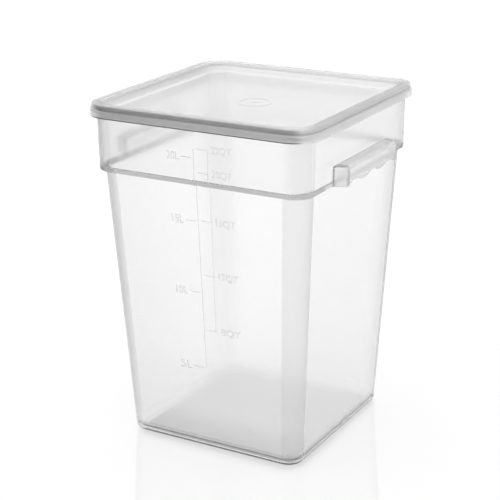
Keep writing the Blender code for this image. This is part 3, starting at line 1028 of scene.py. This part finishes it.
@dataclass
class Lid:
    """The lid: recessed panel, plug wall, crown, valley, skirt and the bead that catches under the lip."""

    mouth: Mouth
    tones: LidTones = LidTones()
    seat_gap: float = 0.0003
    lip_gap: float = 0.0003
    plug_gap: float = 0.0005
    wall: float = 0.0019
    panel_depth: float = 0.0132
    valley_depth: float = 0.0064
    skirt_depth: float = 0.0148
    skirt_step: float = 0.0019
    valley_inset: float = 0.0006
    plug_draft: float = 0.0004
    panel_fillet: float = 0.0025
    crown_inner: float = 0.0012
    crown_outer: float = 0.002
    skirt_top: float = 0.0012
    skirt_edge: float = 0.0005
    channel: float = 0.0004
    bead_height: float = 0.0024
    bead_flat_share: float = 0.35
    bead_rise: float = 0.0016
    ring_radius: float = 0.0188
    ring_width: float = 0.0026
    ring_height: float = 0.00018
    nub_radius: float = 0.0024
    nub_height: float = 0.0004
    ring_steps: int = 8
    nub_steps: int = 6

    @property
    def crown(self) -> float:
        """Height of the crown, the highest part."""
        return self.mouth.height + self.seat_gap + self.wall

    @property
    def panel(self) -> float:
        """Height of the recessed panel's upper side."""
        return self.crown - self.panel_depth

    @property
    def crown_half(self) -> float:
        """Outer half width of the crown."""
        return self.mouth.half + self.mouth.lip_reach + self.lip_gap + self.wall

    @property
    def plug_half(self) -> float:
        """Outer half width of the plug wall."""
        return self.mouth.half - self.mouth.wall - self.plug_gap

    def _upper_side(self) -> Section:
        """Section of the upper side: panel edge, plug wall, crown, valley and skirt.

        Returns:
            Half width and height of each point, from the panel out.
        """
        valley = self.crown - self.valley_depth
        skirt = self.crown_half + self.skirt_step
        foot = self.crown - self.skirt_depth
        recess = self.plug_half - self.wall
        fillet = self.panel_fillet
        inner = self.crown_inner
        outer = self.crown_outer
        top = self.skirt_top
        edge = self.skirt_edge
        return [
            *arc(recess - self.plug_draft - fillet, self.panel + fillet, fillet, -90, 0),
            *arc(recess + inner, self.crown - inner, inner, 180, 90),
            *arc(self.crown_half - outer, self.crown - outer, outer, 90, 0),
            *arc(self.crown_half, valley + self.valley_inset, self.valley_inset, 90, 270),
            *arc(skirt - top, valley - top, top, 90, 0),
            *arc(skirt - edge, foot + edge, edge, 0, -90),
        ]

    def _under_side(self) -> Section:
        """Section of the under side: skirt, bead, the channel that the lip sits in, and the plug.

        Returns:
            Half width and height of each point, from the skirt in.
        """
        skirt = self.crown_half + self.skirt_step - self.wall
        channel = self.crown_half - self.wall
        ceiling = self.crown - self.wall - self.channel
        shelf = self.crown - self.valley_depth - self.wall
        foot = self.crown - self.skirt_depth
        bead = foot + self.bead_rise
        ramp = self.bead_height * (1 - self.bead_flat_share) / 2
        edge = self.skirt_edge
        fillet = self.panel_fillet + self.wall
        under = self.panel - self.wall
        return [
            *arc(skirt + edge, foot + edge, edge, -90, -180),
            (skirt, bead),
            (channel, bead + ramp),
            (channel, bead + self.bead_height - ramp),
            (skirt, bead + self.bead_height),
            (skirt, shelf - edge),
            (skirt - edge, shelf),
            (channel, shelf + self.channel),
            *arc(channel - self.channel, ceiling, self.channel, 0, 90),
            *arc(self.plug_half + self.channel, ceiling, self.channel, 90, 180),
            *arc(self.plug_half - self.plug_draft - fillet, under + fillet, fillet, 0, -90),
        ]

    def _centre_ring(self) -> Piece:
        """Builds the low ring round the middle of the panel, sunk a little into it.

        Returns:
            The ring, to be joined to the panel.
        """
        half = self.ring_width / 2
        section = [(self.ring_radius - half, self.panel - self.ring_height)]
        section += [
            (self.ring_radius - half * math.cos(angle), self.panel + self.ring_height * math.sin(angle))
            for angle in (math.pi * step / self.ring_steps for step in range(self.ring_steps + 1))]
        section.append((self.ring_radius + half, self.panel - self.ring_height))
        return spin_section("centre_ring", section, closed=True)

    def _gate_nub(self) -> Piece:
        """Builds the nub that the gate leaves in the middle of the panel.

        Returns:
            The nub, to be joined to the panel.
        """
        section = [(0.0, self.panel - self.ring_height), (self.nub_radius, self.panel - self.ring_height)]
        section += [
            (self.nub_radius * math.cos(angle), self.panel + self.nub_height * math.sin(angle))
            for angle in (math.pi / (2 * self.nub_steps) * step for step in range(self.nub_steps))]
        section.append((0.0, self.panel + self.nub_height))
        return spin_section("gate_nub", section, closed=False)

    def zones(self) -> tuple[Zone, ...]:
        """Tones of the rim, and painted shade in the groove and on the front of both, which less light
        reaches.

        Returns:
            The zones, each laid over the ones before it.
        """
        tones = self.tones
        out, up = Across.OUTWARDS, Across.UPWARDS
        groove_foot = self.crown - self.valley_depth - tones.groove_under
        groove_top = self.crown - self.valley_depth + tones.groove_over
        groove_end = self.crown_half + tones.groove_reach
        under = self.crown - self.skirt_depth - tones.foot_under
        ahead = Span(Across.FORWARDS, self.crown_half - tones.front_inset, BEYOND, tones.front_fade)
        return (
            # The thick rim, and painted shade in the groove round it
            Zone((Span(out, self.plug_half - self.wall, BEYOND),), "#FFFFFF", roughness=0.16),
            Zone((
                Span(out, self.crown_half - tones.groove_inset, groove_end),
                Span(up, groove_foot, groove_top)), "#D8D8D8", roughness=0.08),
            # Painted shade on the front of the rim, the groove and the lower edge
            Zone((
                ahead, Span(up, under, self.crown - tones.front_top, tones.top_fade)),
                "#DCDCDC", roughness=0.08),
            Zone((
                Span(out, self.crown_half - tones.front_groove_inset, groove_end), ahead,
                Span(up, groove_foot, self.crown - tones.front_groove_top, tones.top_fade)),
                "#B0B0B0", roughness=0.04),
            Zone((
                Span(out, self.crown_half, BEYOND), ahead,
                Span(up, under, self.crown - self.skirt_depth + tones.foot_over)), "#404040"))

    def build(self, finish: MouldedPolypropylene) -> Piece:
        """Builds and dresses the lid.

        Args:
            finish: The lid's finish.

        Returns:
            The lid's piece.
        """
        piece = grow_rings("lid_moulding", self.mouth.rings(self._upper_side() + self._under_side()))
        join(piece, self._centre_ring(), Join.ADD)
        join(piece, self._gate_nub(), Join.ADD)
        own = replace(finish, zones=self.zones(), zone_centre=self.mouth.half - self.mouth.corner)
        return dress(piece, own, Body.LID, Slot.LID, "snap_lid")


@dataclass(frozen=True)
class Mark:
    """One mark of the volume scale."""

    words: str
    height: float


@dataclass
class VolumeScale:
    """The volume scale on the front face: two upright lines with ticks, and a number and a unit at each tick.

    It is low relief, with soft edges to its strokes.
    """

    tub: Tub
    litre_relief: float = 0.0001
    quart_relief: float = 0.0002
    collar_share: float = 0.2
    sink: float = 0.00008
    stroke: float = 0.0012
    top_share: float = 0.45
    letter_bevel: float = 0.02
    letter_height: float = 0.0098
    letter_stretch: float = 1.2
    litre_line_x: float = 0.0
    litre_tick: Pair = (-0.0165, -0.003)
    litre_words: Pair = (-0.0345, -0.0185)
    quart_line_x: Pair = (0.0152, 0.0178)
    quart_tick: Pair = (0.004, 0.0178)
    quart_words: Pair = (0.0222, 0.0472)
    line_top: float = 0.3665
    ledge_gap: float = 0.0012
    lean_step: float = 0.01
    letter_merge: float = 0.000005
    crisp_angle: float = 50.0
    litres: tuple[Mark, ...] = (
        Mark("5L", 0.104), Mark("10L", 0.1975), Mark("15L", 0.2825), Mark("20L", 0.3565))
    quarts: tuple[Mark, ...] = (
        Mark("8QT", 0.153), Mark("12QT", 0.2203), Mark("16QT", 0.284), Mark("20QT", 0.3405),
        Mark("22QT", 0.367))

    def _wall(self, height: float) -> Matrix:
        """Matrix from the plane of a drawing to the front wall.

        Args:
            height: Height on the wall that the drawing's origin goes to.

        Returns:
            A matrix whose x runs along the wall, y up it and z out of it.
        """
        tub = self.tub
        on_collar = height > tub.ledge
        half = tub.collar_half if on_collar else tub.body_half
        step = self.lean_step if on_collar else -self.lean_step
        lean = math.atan((half(height + step) - half(height)) / step)
        along = Vector((1, 0, 0))
        upwards = Vector((0, -math.sin(lean), math.cos(lean)))
        outwards = along.cross(upwards)
        place = Vector((0, -half(height), height)) - outwards * self.sink
        return Matrix.Translation(place) @ Matrix((along, upwards, outwards)).transposed().to_4x4()

    def _relief(self, across: float, height: float) -> float:
        """Returns how far a mark stands out: less in the column of litres, and less again on the collar."""
        own = self.litre_relief if across <= self.litre_line_x else self.quart_relief
        return own * self.collar_share if height > self.tub.ledge else own

    def _stroke(self, bm: bmesh.types.BMesh, start: Vector, end: Vector) -> None:
        """Adds a straight stroke with rounded shoulders to the wall.

        Args:
            bm: The bmesh that takes the stroke.
            start: Place of its lower end: x along the wall, y its height above the base.
            end: Place of its upper end.
        """
        depth = self._relief(start.x, start.y) + self.sink
        low = self._wall(start.y) @ Vector((start.x, 0, 0))
        high = self._wall(end.y) @ Vector((end.x, 0, 0))
        along = high - low
        made = bmesh.ops.create_cube(bm, size=1)["verts"]
        bmesh.ops.scale(bm, vec=(along.length, self.stroke, depth), verts=made)
        bmesh.ops.translate(bm, vec=(along.length / 2, 0, depth / 2), verts=made)
        upper = [vert for vert in made if vert.co.z > depth / 2]
        bmesh.ops.scale(bm, vec=(1, self.top_share, 1), verts=upper)
        # A dict keeps the edges in order, which a set wouldn't
        edges = dict.fromkeys(
            edge for vert in upper for edge in vert.link_edges if all(end in upper for end in edge.verts))
        bevelled = bmesh.ops.bevel(
            bm, geom=list(edges), offset=depth, offset_type='OFFSET', segments=2, profile=0.5,
            affect='EDGES', material=-1)
        verts = {vert for vert in made if vert.is_valid} | set(bevelled["verts"])
        outwards = self._wall((start.y + end.y) / 2).to_3x3() @ Vector((0, 0, 1))
        ahead = along.normalized()
        aside = outwards.cross(ahead)
        turn = Matrix((ahead, aside, ahead.cross(aside))).transposed().to_4x4()
        bmesh.ops.transform(bm, matrix=Matrix.Translation(low) @ turn, verts=list(verts))

    def _strokes(self) -> Piece:
        """Builds the upright lines and the ticks.

        Returns:
            The piece.
        """
        bm = bmesh.new()
        ledge = self.tub.ledge
        gap = self.ledge_gap
        columns = (
            (self.litres[0].height, self.litre_line_x, self.litre_line_x),
            (self.quarts[0].height, *self.quart_line_x))
        for foot, low_x, high_x in columns:
            middle_x = mix(low_x, high_x, (ledge - foot) / (self.line_top - foot))
            self._stroke(bm, Vector((low_x, foot)), Vector((middle_x, ledge - gap)))
            self._stroke(bm, Vector((middle_x, ledge + 2 * gap)), Vector((high_x, self.line_top)))
        for marks, (left, right) in ((self.litres, self.litre_tick), (self.quarts, self.quart_tick)):
            for mark in marks:
                self._stroke(bm, Vector((left, mark.height)), Vector((right, mark.height)))
        return add_piece("scale_lines", bm)

    def _word(self, mark: Mark, span: Pair) -> bpy.types.Mesh:
        """Builds the raised letters of one mark.

        Args:
            mark: The mark.
            span: Where the words of its column start and end when they are at their longest, four letters.

        Returns:
            A mesh in its place on the wall.
        """
        curve = bpy.data.curves.new("words", 'FONT')
        curve.body = mark.words
        curve.size = 1
        curve.extrude = self.letter_bevel / 4
        curve.bevel_depth = self.letter_bevel
        curve.bevel_resolution = 1
        flat = bpy.data.objects.new("words", curve)
        bpy.context.scene.collection.objects.link(flat)
        mesh = bpy.data.meshes.new_from_object(flat.evaluated_get(bpy.context.evaluated_depsgraph_get()))
        bpy.data.objects.remove(flat)
        low = Vector([min(vert.co[axis] for vert in mesh.vertices) for axis in range(3)])
        high = Vector([max(vert.co[axis] for vert in mesh.vertices) for axis in range(3)])
        extent = high - low
        width = min(span[1] - span[0], self.letter_stretch * extent.x / extent.y * self.letter_height)
        relief = self._relief(span[0], mark.height)
        # The lower half of the letter lies in the wall, so that its bevelled upper half is what stands out
        size = Matrix.Diagonal((
            width / extent.x, self.letter_height / extent.y, 2 * relief / extent.z, 1))
        middle = Matrix.Translation((-low.x, -(low.y + high.y) / 2, self.sink * extent.z / (2 * relief)))
        place = Matrix.Translation((span[0], 0, 0))
        mesh.transform(self._wall(mark.height) @ place @ size @ middle)
        return mesh

    def _words(self) -> Piece:
        """Builds the numbers and units.

        Returns:
            The piece.
        """
        bm = bmesh.new()
        for marks, span in ((self.litres, self.litre_words), (self.quarts, self.quart_words)):
            for mark in marks:
                bm.from_mesh(self._word(mark, span))
        bmesh.ops.remove_doubles(bm, verts=bm.verts, dist=self.letter_merge)
        return add_piece("scale_words", bm)

    def build(self, finish: MouldedPolypropylene) -> list[Piece]:
        """Builds and dresses the scale.

        Args:
            finish: The relief's finish.

        Returns:
            The pieces of the scale.
        """
        pieces = [self._strokes(), self._words()]
        for piece in pieces:
            dress(piece, finish, Body.CONTAINER, Slot.TUB, crisp_angle=self.crisp_angle)
        return pieces


def dress(
    piece: Piece, finish: MouldedPolypropylene, body: Body, slot: Slot, *nodes: str, crisp_angle: float = 32.0
) -> Piece:
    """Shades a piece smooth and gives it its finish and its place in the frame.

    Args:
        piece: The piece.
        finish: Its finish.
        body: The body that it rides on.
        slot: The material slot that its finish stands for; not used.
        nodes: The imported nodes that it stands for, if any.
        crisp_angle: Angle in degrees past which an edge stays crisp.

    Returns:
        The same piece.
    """
    piece.data.shade_smooth()
    piece.data.set_sharp_from_angle(angle=math.radians(crisp_angle))
    modifier = piece.modifiers.new("weighted_normals", 'WEIGHTED_NORMAL')
    modifier.keep_sharp = True
    modifier.weight = FACE_WEIGHT
    piece.data.materials.clear()
    piece.data.materials.append(finish.material())
    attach(piece, body.value)
    if nodes:
        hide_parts(*nodes)
    return piece


# Camera, floor and light


@dataclass(frozen=True)
class PhotographCamera:
    """The camera that the photograph was taken with, as its outlines give it."""

    azimuth: float = 29.55
    elevation: float = 19.42
    distance: float = 1.6751
    focal_pixels: float = 1410.2
    centre: Pair = (256.32, 258.55)
    roll: float = -0.51
    target_height: float = AIM_HEIGHT
    sensor: float = 36.0

    def build(self) -> None:
        """Adds the camera and makes it the scene's own."""
        azimuth, elevation, roll = (math.radians(v) for v in (self.azimuth, self.elevation, self.roll))
        back = Vector((
            math.sin(azimuth) * math.cos(elevation), -math.cos(azimuth) * math.cos(elevation),
            math.sin(elevation)))
        place = Vector((0, 0, self.target_height)) + back * self.distance
        right = (-back).cross(Vector((0, 0, 1))).normalized()
        upright = right.cross(-back)
        across = right * math.cos(roll) + upright * math.sin(roll)
        upwards = upright * math.cos(roll) - right * math.sin(roll)
        data = bpy.data.cameras.new("photograph_camera")
        data.sensor_width = self.sensor
        data.lens = self.focal_pixels * self.sensor / IMAGE_SIZE
        data.shift_x = (IMAGE_SIZE / 2 - self.centre[0]) / IMAGE_SIZE
        data.shift_y = (self.centre[1] - IMAGE_SIZE / 2) / IMAGE_SIZE
        camera = bpy.data.objects.new("photograph_camera", data)
        turn = Matrix((across, upwards, back)).transposed().to_4x4()
        camera.matrix_world = Matrix.Translation(place) @ turn
        bpy.context.scene.collection.objects.link(camera)
        bpy.context.scene.camera = camera


@dataclass(frozen=True)
class Lamp:
    """One soft lamp, aimed at the middle of the object."""

    name: str
    place: tuple[float, float, float]
    size: float
    power: float


@dataclass
class Studio:
    """A pale floor, soft lamps and a white surround."""

    lamps: tuple[Lamp, ...] = (
        Lamp("overhead_softbox", (-0.2, -0.2, 2.2), 1.6, 9.0),
        Lamp("front_softbox", (1.2, -2.2, 1.2), 1.4, 7.0),
    )
    surround: float = 0.85
    wall_crossings: int = 32
    floor_size: float = 30.0
    floor_colour: str = "#909090"
    floor_lift: float = 0.575
    floor_lift_through: float = 0.06
    floor_roughness: float = 0.02
    floor_refraction: float = 2.4

    def _shown(self, tree: Tree) -> tuple[Socket, Socket]:
        """Adds the nodes that tell whether the camera sees a surface, straight, in gloss or through plastic.

        Args:
            tree: Node tree that takes the nodes.

        Returns:
            An output that is 1 where it is seen in any of these ways, and one that is 1 where it is seen
            through plastic. Both are 0 elsewhere.
        """
        ray = add_node(tree, "LightPath")
        through = ray["Is Transmission Ray"]
        seen = add_node(
            tree, "Math", {0: ray["Is Camera Ray"], 1: ray["Is Glossy Ray"]}, operation='MAXIMUM')[0]
        return add_node(tree, "Math", {0: seen, 1: through}, operation='MAXIMUM')[0], through

    def _acrylic(self) -> bpy.types.Material:
        """White acrylic: its gloss is a faint, sharp mirror under the object, and it takes a pale shadow.

        Returns:
            The material.
        """
        material = bpy.data.materials.new("white_acrylic_satin")
        material.use_nodes = True
        tree = material.node_tree
        shader = tree.nodes["Principled BSDF"]
        shader.inputs["Base Color"].default_value = linear(self.floor_colour)
        shader.inputs["Roughness"].default_value = self.floor_roughness
        shader.inputs["IOR"].default_value = self.floor_refraction
        shown, through = self._shown(tree)
        lift = add_node(tree, "Math", {0: shown, 1: self.floor_lift}, operation='MULTIPLY')[0]
        total = add_node(
            tree, "Math", {0: through, 1: self.floor_lift_through, 2: lift}, operation='MULTIPLY_ADD')[0]
        glow = add_node(tree, "Emission", {"Strength": total})[0]
        both = add_node(tree, "AddShader", {0: shader.outputs[0], 1: glow})[0]
        tree.links.new(both, tree.nodes["Material Output"].inputs["Surface"])
        return material

    def _floor(self) -> None:
        """Builds the floor, which is no part of the object."""
        bm = bmesh.new()
        bmesh.ops.create_grid(bm, x_segments=1, y_segments=1, size=self.floor_size / 2)
        floor = add_piece("studio_floor", bm)
        floor.data.materials.append(self._acrylic())

    def _surround(self) -> None:
        """Lights the object evenly, and shows white to the camera, in gloss and through the plastic."""
        world = bpy.data.worlds.new("white_surround")
        world.use_nodes = True
        tree = world.node_tree
        plain = tree.nodes["Background"]
        plain.inputs["Color"].default_value = (1, 1, 1, 1)
        plain.inputs["Strength"].default_value = self.surround
        white = add_node(tree, "Background", {"Color": (1, 1, 1, 1), "Strength": 1.0})[0]
        choice = add_node(tree, "MixShader", {0: self._shown(tree)[0], 1: plain.outputs[0], 2: white})[0]
        tree.links.new(choice, tree.nodes["World Output"].inputs["Surface"])
        bpy.context.scene.world = world

    def _lamp(self, lamp: Lamp) -> None:
        """Adds one lamp, aimed at the middle of the object.

        Args:
            lamp: The lamp.
        """
        data = bpy.data.lights.new(lamp.name, 'AREA')
        data.size = lamp.size
        data.energy = lamp.power
        light = bpy.data.objects.new(lamp.name, data)
        aim = Vector((0, 0, AIM_HEIGHT)) - Vector(lamp.place)
        turn = aim.to_track_quat('-Z', 'Y').to_matrix().to_4x4()
        light.matrix_world = Matrix.Translation(lamp.place) @ turn
        bpy.context.scene.collection.objects.link(light)

    def _light_depth(self) -> None:
        """Lets light cross all the plastic walls that lie behind each other, so none ends up black."""
        cycles = bpy.context.scene.cycles
        cycles.max_bounces = self.wall_crossings
        cycles.transmission_bounces = self.wall_crossings
        cycles.glossy_bounces = self.wall_crossings // 2
        cycles.diffuse_bounces = self.wall_crossings // 4

    def build(self) -> None:
        """Builds the floor, the surround and the lamps."""
        self._light_depth()
        self._floor()
        self._surround()
        for lamp in self.lamps:
            self._lamp(lamp)


def report(piece: Piece) -> None:
    """Logs what a piece is made of."""
    LOG.info("%s: %d faces, %s", piece.name, len(piece.data.polygons), piece.data.materials[0].name)


def main() -> None:
    """Builds the camera, the studio and the object, in that order."""
    logging.basicConfig(level=logging.INFO, format="%(name)s: %(message)s")
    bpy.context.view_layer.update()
    bpy.context.scene.view_settings.view_transform = 'Standard'
    PhotographCamera().build()
    Studio().build()
    mouth = Mouth()
    tub = Tub(mouth)
    report(tub.build(TUB_PLASTIC))
    report(Lid(mouth).build(LID_PLASTIC))
    for piece in VolumeScale(tub).build(SCALE_PLASTIC):
        report(piece)


if __name__ == "__main__":
    main()
